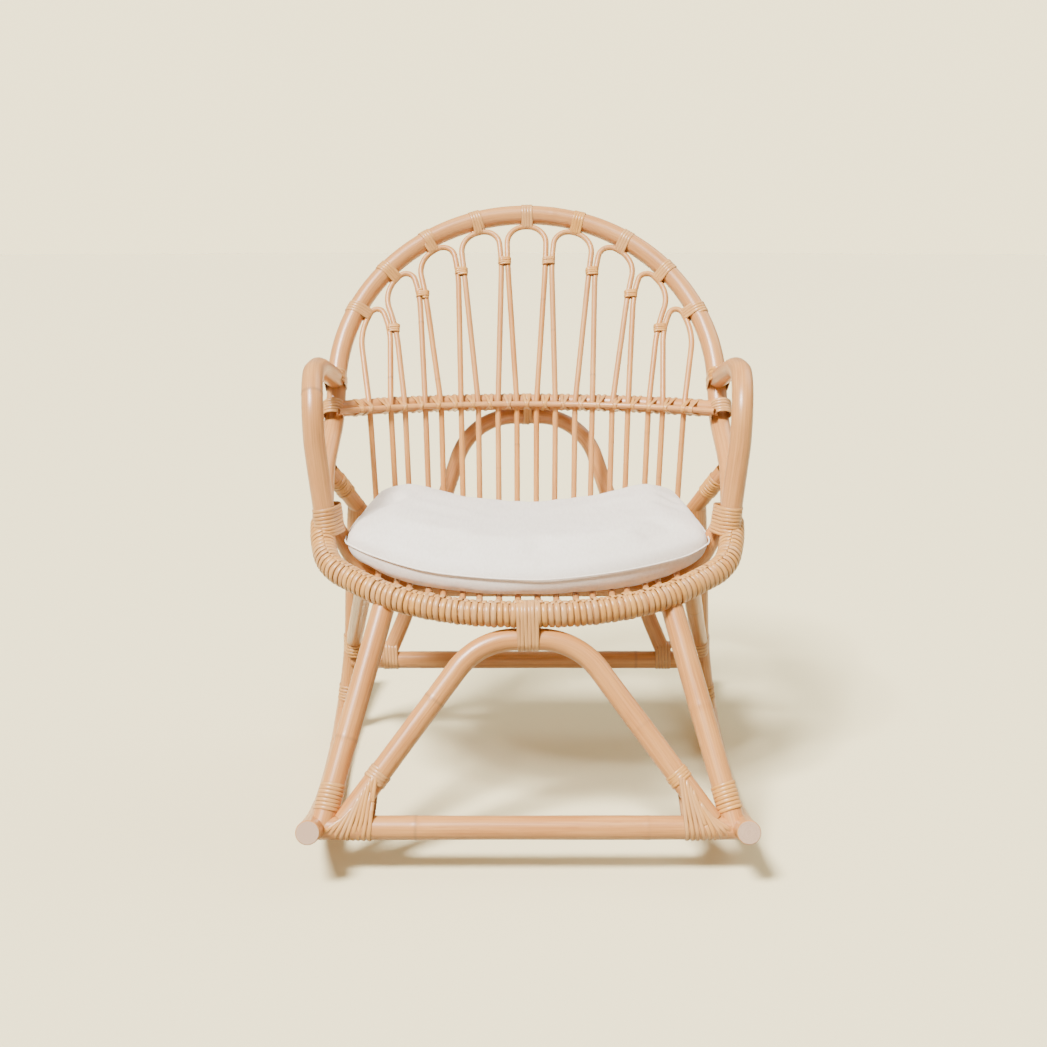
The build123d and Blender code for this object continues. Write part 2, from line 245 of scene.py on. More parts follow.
def cane_leg(loop, edge):
    """One leg of a cane loop, from the front rail up to the waist rail."""
    high_x = waist_x(loop, edge)
    seat_x = seat_share * high_x
    corner_x = corner_share * high_x
    corner_lift = bow_rise(corner_x)
    return [
        rail_station(hook_share * high_x) + Vector((0, 4.0, 7.0)),
        Vector((seat_x, -34, seat_height + bow_rise(seat_x))),
        Vector((corner_x, 119 - 0.62 * corner_lift, seat_height + 2 + 1.05 * corner_lift)),
        waist_point(high_x, cane_forward),
    ]


def loop_route(loop):
    """The whole route of one cane loop."""
    inner = cane_leg(loop, -1)
    outer = cane_leg(loop, 1)
    first_tie = loop if loop > 0 else loop - 1
    second_tie = loop + 1 if loop >= 0 else loop
    crown = loop_spacing * loop
    if first_tie >= -last_tie:
        inner.append(tie_point(first_tie, cane_radius + 0.1))
    if second_tie <= last_tie:
        outer.append(tie_point(second_tie, -cane_radius - 0.1))
    crest = [on_back(crown + edge * loop_half_angle, loop_radius) for edge in (-1, 1)]
    points = inner + crest + outer[::-1]
    radii = bends(points, limit=260)
    for corner, most in ((1, 50), (-2, 50), (2, 60), (-3, 60)):
        radii[corner] = min(radii[corner], most)
    return rounded(points, radii)


# ---- Materials ----

def new_material(name):
    """An empty material with a principled shader."""
    material = bpy.data.materials.new(name)
    material.use_nodes = True
    nodes = material.node_tree.nodes
    return material, nodes, material.node_tree.links, nodes["Principled BSDF"]


def stretched_noise(nodes, links, source, scale, stretch, detail=4.0):
    """Noise drawn out along a piece's length."""
    mapping = nodes.new("ShaderNodeMapping")
    mapping.inputs["Scale"].default_value = stretch
    links.new(source, mapping.inputs["Vector"])
    texture = nodes.new("ShaderNodeTexNoise")
    texture.inputs["Scale"].default_value = scale
    texture.inputs["Detail"].default_value = detail
    links.new(mapping.outputs["Vector"], texture.inputs["Vector"])
    return texture.outputs["Fac"]


def ramp(nodes, links, source, stops):
    """A colour ramp with the given stops."""
    node = nodes.new("ShaderNodeValToRGB")
    elements = node.color_ramp.elements
    while len(elements) < len(stops):
        elements.new(0.5)
    for element, (place, colour) in zip(elements, stops):
        element.position = place
        element.color = (*colour, 1)
    links.new(source, node.inputs["Fac"])
    return node.outputs["Color"]


def mixed(nodes, links, factor, first, second, kind="MIX"):
    """Two colours mixed by a factor; each may be a socket or a constant."""
    node = nodes.new("ShaderNodeMix")
    node.data_type = "RGBA"
    node.blend_type = kind
    sockets = (node.inputs[0], node.inputs[6], node.inputs[7])
    for socket, value in zip(sockets, (factor, first, second)):
        if isinstance(value, bpy.types.NodeSocket):
            links.new(value, socket)
        else:
            socket.default_value = value
    return node.outputs[2]


def attribute(nodes, name, output):
    """A mesh attribute as a socket."""
    node = nodes.new("ShaderNodeAttribute")
    node.attribute_name = name
    return node.outputs[output]


def rattan(name, stops, fibre_scale, gloss, grain_depth):
    """Peeled rattan: long fibres, slow changes of tone, dark growth nodes and painted shade along the
    edges of peel strips.
    """
    material, nodes, links, shader = new_material(name)
    grain = attribute(nodes, "grain", "Vector")
    fibres = stretched_noise(nodes, links, grain, fibre_scale, (1, 1, 0.02), 6)
    clouds = stretched_noise(nodes, links, grain, 38, (1, 1, 0.35), 3)
    flecks = stretched_noise(nodes, links, grain, 900, (1, 1, 0.06), 2)
    base = ramp(nodes, links, fibres, stops)
    warm = ramp(nodes, links, clouds, [(0.32, (0.86, 0.76, 0.66)), (0.66, (1.0, 1.0, 1.0))])
    toned = mixed(nodes, links, 0.8, base, warm, "MULTIPLY")
    fleck = ramp(nodes, links, flecks, [(0.30, (0.62, 0.45, 0.32)), (0.40, (1, 1, 1))])
    flecked = mixed(nodes, links, 0.35, toned, fleck, "MULTIPLY")
    tone = attribute(nodes, "tone", "Fac")
    varied = mixed(nodes, links, tone, flecked, (0.60, 0.36, 0.19, 1))
    # The node attribute darkens towards deep brown: the growth-node rings of poles and canes, and
    # painted shade in the gaps between turns of peel strips.
    ring = attribute(nodes, "node", "Fac")
    final = mixed(nodes, links, ring, varied, (0.27, 0.13, 0.055, 1))
    links.new(final, shader.inputs["Base Color"])
    shader.inputs["Roughness"].default_value = gloss
    shader.inputs["Coat Weight"].default_value = 0.18
    shader.inputs["Coat Roughness"].default_value = 0.25
    bump = nodes.new("ShaderNodeBump")
    bump.inputs["Strength"].default_value = 0.35
    bump.inputs["Distance"].default_value = grain_depth
    links.new(fibres, bump.inputs["Height"])
    links.new(bump.outputs["Normal"], shader.inputs["Normal"])
    return material


def end_grain_material():
    """A sawn pole end: matt, full of small dark pores."""
    material, nodes, links, shader = new_material("rattan_end_grain")
    grain = attribute(nodes, "grain", "Vector")
    pores = nodes.new("ShaderNodeTexVoronoi")
    pores.inputs["Scale"].default_value = 900
    links.new(grain, pores.inputs["Vector"])
    pore_tones = [(0.18, (0.30, 0.16, 0.09)), (0.34, (0.60, 0.40, 0.26))]
    dots = ramp(nodes, links, pores.outputs["Distance"], pore_tones)
    clouds = stretched_noise(nodes, links, grain, 160, (1, 1, 1), 4)
    shade = ramp(nodes, links, clouds, [(0.3, (0.8, 0.75, 0.7)), (0.7, (1, 1, 1))])
    links.new(mixed(nodes, links, 0.8, dots, shade, "MULTIPLY"), shader.inputs["Base Color"])
    shader.inputs["Roughness"].default_value = 0.75
    return material


def cotton_material():
    """Off-white plain-weave cotton with faint slubs."""
    material, nodes, links, shader = new_material("cushion_cotton")
    place = nodes.new("ShaderNodeTexCoord").outputs["Object"]
    slubs = stretched_noise(nodes, links, place, 420, (1, 0.12, 1), 3)
    clouds = stretched_noise(nodes, links, place, 14, (1, 1, 1), 3)
    base = ramp(nodes, links, slubs, [(0.3, (0.86, 0.78, 0.68)), (0.7, (0.94, 0.87, 0.77))])
    shade = ramp(nodes, links, clouds, [(0.3, (0.95, 0.94, 0.92)), (0.7, (1, 1, 1))])
    links.new(mixed(nodes, links, 1.0, base, shade, "MULTIPLY"), shader.inputs["Base Color"])
    shader.inputs["Roughness"].default_value = 0.88
    shader.inputs["Sheen Weight"].default_value = 0.25
    shader.inputs["Sheen Roughness"].default_value = 0.5
    heights = []
    for direction in ("X", "Y"):
        threads = nodes.new("ShaderNodeTexWave")
        threads.bands_direction = direction
        threads.inputs["Scale"].default_value = 380
        threads.inputs["Distortion"].default_value = 1.2
        links.new(place, threads.inputs["Vector"])
        heights.append(threads.outputs["Fac"])
    weave = nodes.new("ShaderNodeMath")
    weave.operation = "MULTIPLY"
    links.new(heights[0], weave.inputs[0])
    links.new(heights[1], weave.inputs[1])
    fine = nodes.new("ShaderNodeBump")
    fine.inputs["Strength"].default_value = 0.25
    fine.inputs["Distance"].default_value = 0.0003
    links.new(weave.outputs[0], fine.inputs["Height"])
    creases = stretched_noise(nodes, links, place, 60, (1, 1, 1), 5)
    soft = nodes.new("ShaderNodeBump")
    soft.inputs["Strength"].default_value = 0.25
    soft.inputs["Distance"].default_value = 0.002
    links.new(creases, soft.inputs["Height"])
    links.new(fine.outputs["Normal"], soft.inputs["Normal"])
    links.new(soft.outputs["Normal"], shader.inputs["Normal"])
    return material


pole_tones = [(0.25, (0.50, 0.20, 0.045)), (0.5, (0.64, 0.28, 0.070)), (0.75, (0.74, 0.35, 0.105))]
cane_tones = [(0.25, (0.52, 0.21, 0.045)), (0.5, (0.67, 0.30, 0.075)), (0.75, (0.77, 0.37, 0.11))]
peel_tones = [(0.25, (0.54, 0.23, 0.040)), (0.5, (0.70, 0.335, 0.070)), (0.75, (0.80, 0.41, 0.11))]
pole_finish = rattan("rattan_pole", pole_tones, 700, 0.36, 0.00012)
cane_finish = rattan("rattan_cane", cane_tones, 1200, 0.40, 0.0001)
peel_finish = rattan("rattan_peel", peel_tones, 1500, 0.38, 0.00015)
end_finish = end_grain_material()
cotton_finish = cotton_material()


# ---- Pole and strip meshes ----

def finish_piece(name, builder, materials, body, nodes):
    """Turn collected vertices and faces into an object that rides on a body."""
    mesh = bpy.data.meshes.new(name)
    mesh.from_pydata([point * MM for point in builder["points"]], [], builder["faces"])
    for attribute_name, kind, field in (
        ("grain", "FLOAT_VECTOR", "vector"),
        ("tone", "FLOAT", "value"),
        ("node", "FLOAT", "value"),
    ):
        layer = mesh.attributes.new(attribute_name, kind, "POINT")
        flat = builder[attribute_name]
        if field == "vector":
            flat = [number * MM for vector in flat for number in vector]
        layer.data.foreach_set(field, flat)
    for material in materials:
        mesh.materials.append(material)
    mesh.polygons.foreach_set("material_index", builder["slots"])
    mesh.polygons.foreach_set("use_smooth", builder["smooth"])
    piece = bpy.data.objects.new(name, mesh)
    bpy.context.scene.collection.objects.link(piece)
    mesh.update()
    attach(piece, body)
    if nodes:
        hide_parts(*nodes)
    return piece


def new_builder():
    """Empty lists for one mesh."""
    fields = ("points", "faces", "grain", "tone", "node", "slots", "smooth")
    return {field: [] for field in fields}


def add_quads(builder, first, rows, columns):
    """Faces between rows of points; each row is a closed ring."""
    for row in range(rows - 1):
        for column in range(columns):
            after = (column + 1) % columns
            low = first + row * columns
            high = low + columns
            builder["faces"].append((low + column, low + after, high + after, high + column))
            builder["slots"].append(0)
            builder["smooth"].append(True)


def add_cap(builder, ring, centre, along):
    """A bevelled sawn end on the last ring of a pole."""
    start = len(builder["points"])
    count = len(ring)
    for scale, push in ((0.93, 1.0), (0.0, 1.0)):
        for index in ring if scale else ring[:1]:
            spoke = builder["points"][index] - centre
            builder["points"].append(centre + spoke * scale + along * push)
            rim = builder["grain"][index]
            builder["grain"].append(Vector((rim.x * scale, rim.y * scale, 3.0)))
            builder["tone"].append(0.1)
            builder["node"].append(0.0)
    middle = start + count
    for column in range(count):
        after = (column + 1) % count
        bevel = (ring[column], ring[after], start + after, start + column)
        disc = (start + column, start + after, middle)
        for face, slot in ((bevel, 0), (disc, 1)):
            builder["faces"].append(face)
            builder["slots"].append(slot)
            builder["smooth"].append(False)


def nearness(walked, swellings, reach):
    """How strongly the growth nodes of a pole are felt at a distance along it."""
    return sum(size * math.exp(-((walked - spot) / reach) ** 2) for spot, size in swellings)


def add_pole(builder, route, radius, step, around, spacing, capped=False):
    """A round pole with growth nodes at uneven distances."""
    points = evenly(route, step)
    seed = Vector((rng.uniform(0, 500), rng.uniform(0, 500), rng.uniform(0, 5000)))
    total = sum((b - a).length for a, b in zip(points, points[1:]))
    swellings = []
    place = rng.uniform(0.3, 0.9) * spacing
    while place < total - 20:
        swellings.append((place, rng.uniform(0.6, 1.0)))
        place += spacing * rng.uniform(0.8, 1.3)
    first = len(builder["points"])
    walked = 0.0
    tone = rng.uniform(0.0, 0.16)
    previous = points[0]
    for point, (_, normal, binormal) in zip(points, frames(points)):
        walked += (point - previous).length
        previous = point
        swell = nearness(walked, swellings, 0.16 * radius)
        shade = nearness(walked, swellings, 0.45 + 0.035 * radius)
        wide = radius * (1 + 0.035 * swell) + 0.012 * radius * math.sin(walked / 31 + seed.x)
        for column in range(around):
            angle = 2 * math.pi * column / around
            spoke = normal * math.cos(angle) + binormal * math.sin(angle)
            builder["points"].append(point + spoke * wide)
            around_place = Vector((radius * math.cos(angle), radius * math.sin(angle), walked))
            builder["grain"].append(around_place + seed)
            builder["tone"].append(tone)
            builder["node"].append(min(0.75, 0.7 * shade))
    add_quads(builder, first, len(points), around)
    if capped:
        directions = frames(points)
        last = len(builder["points"]) - around
        opening = list(range(first, first + around))[::-1]
        add_cap(builder, opening, points[0], -directions[0][0])
        add_cap(builder, list(range(last, last + around)), points[-1], directions[-1][0])


def make_pole(
    name, route, radius, capped=False, step=2.5, around=28, spacing=210, finish=None
):
    """One pole as its own piece, in place of its CAD node."""
    builder = new_builder()
    add_pole(builder, route, radius, step, around, spacing, capped)
    finish = finish or pole_finish
    return finish_piece(name + "_rattan", builder, [finish, end_finish], "frame", [name])


# Outline of a peel strip: share of its half width, share of its thickness
strip_rise = [(-1, 0.0), (-0.92, 0.45), (-0.6, 0.85)]
strip_fall = [(-share, height) for share, height in reversed(strip_rise)]
strip_profile = strip_rise + [(0, 1.0)] + strip_fall + [(0, -0.25)]


def add_strip(builder, path, width, thickness):
    """A flat peel strip with painted shade along its edges; path holds point, outward direction and
    cross direction.
    """
    first = len(builder["points"])
    seed = Vector((rng.uniform(0, 500), rng.uniform(0, 500), rng.uniform(0, 5000)))
    tone = rng.uniform(0.0, 0.5) ** 1.3
    walked = 0.0
    previous = path[0][0]
    for point, outward, across in path:
        walked += (point - previous).length
        previous = point
        for share, height in strip_profile:
            offset = across * (share * width / 2) + outward * (height * thickness)
            builder["points"].append(point + offset)
            builder["grain"].append(Vector((share * width / 2, height, walked)) + seed)
            builder["tone"].append(tone)
            # Painted shade: the node attribute darkens the strip's outer edges, where neighbouring
            # turns meet and shade the gap.
            builder["node"].append(0.9 * max(0.0, abs(share) - 0.8) / 0.2)
    columns = len(strip_profile)
    add_quads(builder, first, len(path), columns)
    last = len(builder["points"]) - columns
    for ring in (list(range(first, first + columns))[::-1], list(range(last, last + columns))):
        builder["faces"].append(tuple(ring))
        builder["slots"].append(0)
        builder["smooth"].append(False)


def hull(points):
    """Convex hull of flat points, anticlockwise."""
    ordered = sorted(points)

    def half(sequence):
        chain = []
        for x, y in sequence:
            while len(chain) > 1:
                (ax, ay), (bx, by) = chain[-2], chain[-1]
                if (bx - ax) * (y - ay) - (by - ay) * (x - ax) > 1e-9:
                    break
                chain.pop()
            chain.append((x, y))
        return chain[:-1]

    return half(ordered) + half(ordered[::-1])


def taut_outline(circles, across, upward, centre):
    """The taut outline round circles, as flat points at even distances with normals."""
    flat = []
    for point, radius in circles:
        offset = Vector(point) - centre
        for number in range(72):
            angle = 2 * math.pi * number / 72
            flat.append(
                (
                    offset.dot(across) + radius * math.cos(angle),
                    offset.dot(upward) + radius * math.sin(angle),
                )
            )
    ring = [Vector((x, y, 0)) for x, y in hull(flat)]
    ring.append(ring[0].copy())
    even = evenly(ring, 1.4)[:-1]
    normals = []
    for index in range(len(even)):
        tangent = even[(index + 1) % len(even)] - even[index - 1]
        normals.append(Vector((tangent.y, -tangent.x, 0)).normalized())
    return even, normals


def add_winding(builder, centre, along, circles, width, pitch=peel_width, lean=0.0):
    """Turns of peel laid side by side round some poles."""
    along = Vector(along).normalized()
    seed = Vector((0, 0, 1)) if abs(along.z) < 0.8 else Vector((0, 1, 0))
    upward = (seed - along * seed.dot(along)).normalized()
    across = upward.cross(along)
    ring, normals = taut_outline(circles, across, upward, Vector(centre))
    turns = max(1, round(width / pitch))
    count = len(ring)
    start = rng.randrange(count)
    wobble = rng.uniform(0, 10)
    steps = turns * count
    path = []
    for step in range(steps + 1):
        index = (start + step) % count
        share = step / steps
        spot, normal = ring[index], normals[index]
        tuck = min(1.0, step / 6, (steps - step) / 6)
        lift = 0.15 * math.sin(wobble + step * 0.21) - 1.2 * (1 - tuck)
        place = (share - 0.5) * (width - pitch) + 0.25 * math.sin(wobble + step * 0.11)
        place += lean * spot.y
        outward = across * normal.x + upward * normal.y
        point = Vector(centre) + across * spot.x + upward * spot.y + along * place + outward * lift
        path.append((point, outward, along))
    size = pitch * 0.9
    add_strip(builder, path, size, peel_thickness)


def make_windings(name, windings):
    """One piece of lashings, in place of its CAD node."""
    builder = new_builder()
    for winding in windings:
        add_winding(builder, *winding)
    finish_piece(name + "_peel", builder, [peel_finish], "frame", [name])


def on_both_sides(centre, along, circles, width):
    """The same lashing on the two sides of the chair."""
    result = []
    for side in sides.values():
        rounds = [(mirrored(point, side), radius) for point, radius in circles]
        result.append((mirrored(centre, side), mirrored(along, side), rounds, width))
    return result


# ---- The frame's poles ----

def build_runners_and_base():
    """Runners, stretchers, front legs and front arch."""
    for word, side in sides.items():
        stations = [runner_axis(side, y) for y in range(int(-runner_reach), int(runner_reach) + 1, 10)]
        make_pole(f"{word}_runner", stations, pole_radius, capped=True, spacing=260)
        make_pole(
            f"{word}_front_leg",
            [mirrored((190.5, -251, 46), side), mirrored((136, -139, 240), side)],
            pole_radius,
        )
    ends = [runner_axis(side, front_foot_y) for side in (1, -1)]
    make_pole("front_stretcher", ends, pole_radius)
    corners = both_sides([arch_foot, Vector((arch_corner_x, arch_crown.y, arch_crown.z))])
    make_pole("front_arch", rounded(corners, [70, 70]), light_radius + 0.5, spacing=240)


def build_rear():
    """Rear legs, rear stretcher, side braces and rear arch."""
    for word, side in sides.items():
        leg = [rear_leg_foot, rear_leg_ankle, rear_leg_knee, rear_leg_head]
        leg = [mirrored(point, side) for point in leg]
        make_pole(f"{word}_rear_leg", rounded(leg, bends(leg)), light_radius)
        brace = [mirrored((202, 132, 112), side), mirrored((160, -112, 246), side)]
        make_pole(f"{word}_side_brace", brace, thin_radius)
    ends = [Vector((side * 205, rear_stretcher_y, rear_stretcher_z)) for side in (1, -1)]
    make_pole("rear_stretcher", ends, light_radius)
    arch = both_sides(
        [
            (164, rear_stretcher_y, rear_stretcher_z),
            (143, 141, 139),
            (rear_corner_x, rear_crown.y, rear_crown.z),
        ]
    )
    make_pole("rear_arch", rounded(arch, [300, 70, 70, 300]), thin_radius)


rail_corners = both_sides(
    [rail_joint, (207.6, -65, 279), (197, -106, 259), (132, -155, 239), (56, -179.5, 230.5)]
)
rail_route = rounded(rail_corners, bends(rail_corners))


def build_seat():
    """Front rail, hoop, bows, waist rail and arms."""
    make_pole("seat_front_rail", rail_route, pole_radius, step=5)
    side = [hoop_end, hoop_end - up_the_back * 46, Vector((218, 40, 335)), rail_joint]
    flank = rounded(side, bends(side))
    across = Vector((hoop_radius, 0, 0))
    crest = arc_through(hoop_centre, across, up_the_back * hoop_radius, 0, math.pi)
    far_flank = [mirrored(point, -1) for point in flank]
    make_pole("back_hoop", flank[::-1] + crest[1:-1] + far_flank, pole_radius, spacing=300)
    rear_bow = both_sides([rear_bow_end, rear_bow_corner])
    make_pole("rear_seat_bow", rounded(rear_bow, [bow_bend] * 2), thin_radius)
    middle_bow = both_sides([middle_bow_end, middle_bow_corner])
    make_pole("middle_seat_bow", rounded(middle_bow, [bow_bend] * 2), thin_radius)
    places = [1 - number / 20 for number in range(41)]
    waist = [waist_point(waist_end.x * place, 0) for place in places]
    make_pole("waist_rail", waist, thin_radius)
    thin = [waist_point(206 * place, front_cane_forward) for place in places]
    make_pole(
        "waist_front_cane", thin, cane_radius, around=14, spacing=120, finish=cane_finish
    )
    for word, side in sides.items():
        arm = [arm_rear_end, (223, 55, 441), (216, -62, 443), arm_post, arm_foot]
        arm = [mirrored(point, side) for point in arm]
        make_pole(f"{word}_arm", rounded(arm, [150, 56, 260]), pole_radius, spacing=230)


def build_canes():
    """The nine cane loops."""
    for loop in loops:
        make_pole(
            f"cane_loop_{loop + 5}",
            loop_route(loop),
            cane_radius,
            step=2.0,
            around=14,
            spacing=170,
            finish=cane_finish,
        )


# ---- Peel lashings ----

def build_rail_winding():
    """Peel wound along the front rail, raised where each cane is hooked in."""
    pitch = 5.9
    around = 48
    route = evenly(rail_route, 1.0)
    directions = frames(route)
    length = len(route) - 1
    turns = int(length / pitch)
    hooks = [hook_share * waist_x(loop, edge) for loop in loops for edge in (-1, 1)]
    builder = new_builder()
    for number in range(turns):
        path = []
        lean = rng.uniform(-0.5, 0.5)
        middle = (number + 0.5) * pitch + rng.uniform(-0.25, 0.25)
        spot = route[min(length, int(middle))]
        near = min(abs(spot.x - hook) for hook in hooks)
        raised = 1.0 if near < 3.2 else 0.0
        lift = rng.uniform(0.0, 0.35) + 1.1 * raised
        for step in range(around + 1):
            share = step / around
            angle = 2 * math.pi * share
            place = middle + lean * math.cos(angle) + pitch * 0.5 * (share - 0.5)
            index = max(0, min(length, int(place)))
            along, normal, binormal = directions[index]
            outward = normal * math.cos(angle) + binormal * math.sin(angle)
            centre = route[index] + along * (place - index)
            bulge = lift * (0.4 + 0.6 * max(0.0, math.cos(angle)))
            path.append((centre + outward * (pole_radius + 0.1 + bulge), outward, along))
        add_strip(builder, path, pitch * rng.uniform(0.9, 1.0), rail_peel)
    nodes = ["seat_rail_winding"]
    finish_piece("seat_rail_winding_peel", builder, [peel_finish], "frame", nodes)


def build_back_ties():
    """Ties of the loops to the hoop, of the loops to each other and along the waist rail."""
    ties = []
    for loop in loops:
        crown = loop_spacing * loop
        spot = on_back(crown, hoop_radius)
        along = on_back(crown + 90, 1) - hoop_centre
        circles = [(spot, pole_radius), (on_back(crown, loop_radius), cane_radius)]
        ties.append((spot, along, circles, 17))
    make_windings("loop_ties", ties)
    pairs = []
    for tie in (-4, -3, -2, -1, 1, 2, 3, 4):
        canes = [(tie_point(tie, edge * (cane_radius + 0.1)), cane_radius) for edge in (-1, 1)]
        pairs.append((tie_point(tie, 0), up_the_back, canes, 13, 3.3))
    make_windings("pair_ties", pairs)
    crossings = sorted(waist_x(loop, edge) for loop in loops for edge in (-1, 1))
    waists = []
    for here, there in zip(crossings, crossings[1:]):
        middle = (here + there) / 2
        along = waist_point(there, 0) - waist_point(here, 0)
        spot = waist_point(middle, 0)
        circles = [(spot, thin_radius), (waist_point(middle, front_cane_forward), cane_radius)]
        for lean in (0.42, -0.42):
            waists.append((spot, along, circles, peel_width, peel_width, lean))
    for side in sides.values():
        for number in range(2):
            middle = side * (183 + 9 * number)
            along = waist_point(middle + 1, 0) - waist_point(middle, 0)
            spot = waist_point(middle, 0)
            circles = [(spot, thin_radius), (waist_point(middle, front_cane_forward), cane_radius)]
            waists.append((spot, along, circles, 2 * peel_width))
    make_windings("waist_ties", waists)
    ends = on_both_sides(waist_end, (0, 0.63, 0.77), [(waist_end, pole_radius)], 22)
    make_windings("waist_end_lashings", ends)


def build_front_lashings():
    """Lashings of the front legs, the front arch and its crown."""
    along = Vector((-54, 111, 192)).normalized()
    spot = Vector((190, front_foot_y, 48)) + along * 27
    make_windings("front_foot_lashings", on_both_sides(spot, along, [(spot, pole_radius)], 30))
    crown = Vector((arch_corner_x, arch_crown.y, arch_crown.z))
    run = (crown - arch_foot).normalized()
    stretcher_height = runner_axis(1, front_foot_y).z
    fans = []
    strips = 9
    for number in range(strips):
        share = number / (strips - 1)
        low = Vector((181 - 36 * share, front_foot_y, stretcher_height))
        high = arch_foot + run * (6 + 44 * share)
        rise = (high - low).normalized()
        level = Vector((1, 0, 0))
        level = level - rise * level.dot(rise)
        circles = [(low, pole_radius + 0.1), (high, light_radius + 0.6)]
        fans += on_both_sides(low, level, circles, peel_width)
    make_windings("arch_foot_lashings", fans)
    coil = arch_foot + run * 51
    make_windings("arch_leg_coils", on_both_sides(coil, run, [(coil, light_radius + 0.5)], 16))
    rail_crown = Vector((0, -179.5, 230.5))
    circles = [(rail_crown, pole_radius + rail_peel), (arch_crown, light_radius + 0.5)]
    make_windings("arch_crown_lashing", [(rail_crown, (1, 0, 0), circles, 25)])


def build_arm_lashings():
    """Lashings at both ends of the arms."""
    along = (arm_post - arm_foot).normalized()
    spot = arm_foot + along * 12
    circles = [(spot, pole_radius), (spot + Vector((-5, 10, 0)), pole_radius)]
    make_windings("arm_foot_lashings", on_both_sides(spot, along, circles, 34))
    spot = hoop_end - up_the_back * 4
    circles = [(spot, pole_radius), (spot + Vector((0, -17, 8)), pole_radius)]
    make_windings("arm_rear_lashings", on_both_sides(spot, up_the_back, circles, 19))


def build_rear_lashings():
    """Lashings of the rear bow, braces, rear legs and rear arch."""
    along = (rear_bow_corner - rear_bow_end).normalized()
    spot = rear_bow_end + along * 27
    make_windings("rear_bow_end_lashings", on_both_sides(spot, along, [(spot, thin_radius)], 30))
    along = (rear_leg_knee - rear_leg_ankle).normalized()
    spot = rear_leg_ankle + along * 4
    circles = [(spot, light_radius), (Vector((200, 122, 118)), thin_radius)]
    make_windings("brace_lashings", on_both_sides(spot, along, circles, 24))
    spot = Vector((160, rear_stretcher_y, rear_stretcher_z))
    circles = [(spot, light_radius), (spot + Vector((0, 2, 12)), thin_radius)]
    make_windings("rear_arch_foot_lashings", on_both_sides(spot, (1, 0, 0), circles, 22))
    along = (rear_leg_ankle - rear_leg_foot).normalized()
    spot = rear_leg_foot + along * 26
    make_windings("rear_foot_lashings", on_both_sides(spot, along, [(spot, light_radius)], 24))
    spot = Vector((0, waist_middle_y, waist_height))
    circles = [(spot, thin_radius), (rear_crown, thin_radius)]
    make_windings("rear_arch_crown_lashing", [(spot, (1, 0, 0), circles, 14)])


# ---- Cushion ----

seat_contact = 242.0
cushion_steps = 56
top_rise = 22.0
bottom_drop = 27.0
cloth_frames = 18
largest_shift = 7.0


def cushion_point(u, v):
    """A point of the cushion's seam surface; u runs across, v from front to back."""
    half = 190 - 20 * (v + 1) / 2 + 4 * (1 - v * v)
    front = -164 + 86 * u * u
    rear = 114 - 14 * u * u
    share = (v + 1) / 2
    dish_front = 262 + 16 * u * u
    dish_rear = 270 + 23 * u * u
    height = dish_front + (dish_rear - dish_front) * share - 3 * (1 - u * u) * (1 - v * v)
    corner = 1 - 0.04 * (u * v) ** 6
    return Vector((u * half * corner, (front + (rear - front) * share) * corner, height))


def build_cushion():
    """A knife-edged cotton cushion, inflated by a cloth simulation."""
    steps = cushion_steps
    mesh = bpy.data.meshes.new("seat_cushion_cotton")
    work = bmesh.new()
    layers = {}
    for side in (1, -1):
        for row in range(steps + 1):
            for column in range(steps + 1):
                u = -1 + 2 * column / steps
                v = -1 + 2 * row / steps
                edge = row in (0, steps) or column in (0, steps)
                if edge and side == -1:
                    layers[side, row, column] = layers[1, row, column]
                    continue
                fullness = ((1 - abs(u) ** 5) * (1 - abs(v) ** 5)) ** 0.38
                crease = 1 + 0.05 * noise.noise(Vector((u * 5, v * 5, side)))
                rise = top_rise + 7 * u * u * (1 + v) if side == 1 else -bottom_drop
                point = cushion_point(u, v) + Vector((0, 0, rise * fullness * crease))
                layers[side, row, column] = work.verts.new(point * MM)
    for side in (1, -1):
        for row in range(steps):
            for column in range(steps):
                corners = [
                    layers[side, row, column],
                    layers[side, row, column + 1],
                    layers[side, row + 1, column + 1],
                    layers[side, row + 1, column],
                ]
                work.faces.new(corners if side == 1 else corners[::-1])
    work.to_mesh(mesh)
    work.free()
    cushion = bpy.data.objects.new("seat_cushion_cotton", mesh)
    bpy.context.scene.collection.objects.link(cushion)
    inflate(cushion)
    mesh = cushion.data
    mesh.polygons.foreach_set("use_smooth", [True] * len(mesh.polygons))
    mesh.materials.append(cotton_finish)
    smooth = cushion.modifiers.new("smooth", "SUBSURF")
    smooth.levels = 1
    smooth.render_levels = 1
    return cushion


def inflate(cushion):
    """Blow the cotton up like a filled cover, keeping each point near where it was cut."""
    rest = [vertex.co.copy() for vertex in cushion.data.vertices]
    cloth = cushion.modifiers.new("cloth", "CLOTH")
    settings = cloth.settings
    settings.use_pressure = True
    settings.uniform_pressure_force = 4
    settings.effector_weights.gravity = 0
    settings.quality = 8
    settings.tension_stiffness = 12
    settings.compression_stiffness = 12
    settings.shear_stiffness = 4
    settings.bending_stiffness = 0.4
    scene = bpy.context.scene
    for number in range(1, cloth_frames + 1):
        scene.frame_set(number)
    graph = bpy.context.evaluated_depsgraph_get()
    shaped = cushion.evaluated_get(graph)
    moved = [vertex.co.copy() for vertex in shaped.data.vertices]
    cushion.modifiers.remove(cloth)
    scene.frame_set(1)
    most = largest_shift * MM
    settled = seat_contact * MM
    for vertex, start, end in zip(cushion.data.vertices, rest, moved):
        shift = end - start
        if shift.length > most:
            shift = shift.normalized() * most
        vertex.co = start + shift
        if vertex.co.z < settled:
            vertex.co.z = settled + 0.15 * (vertex.co.z - settled)


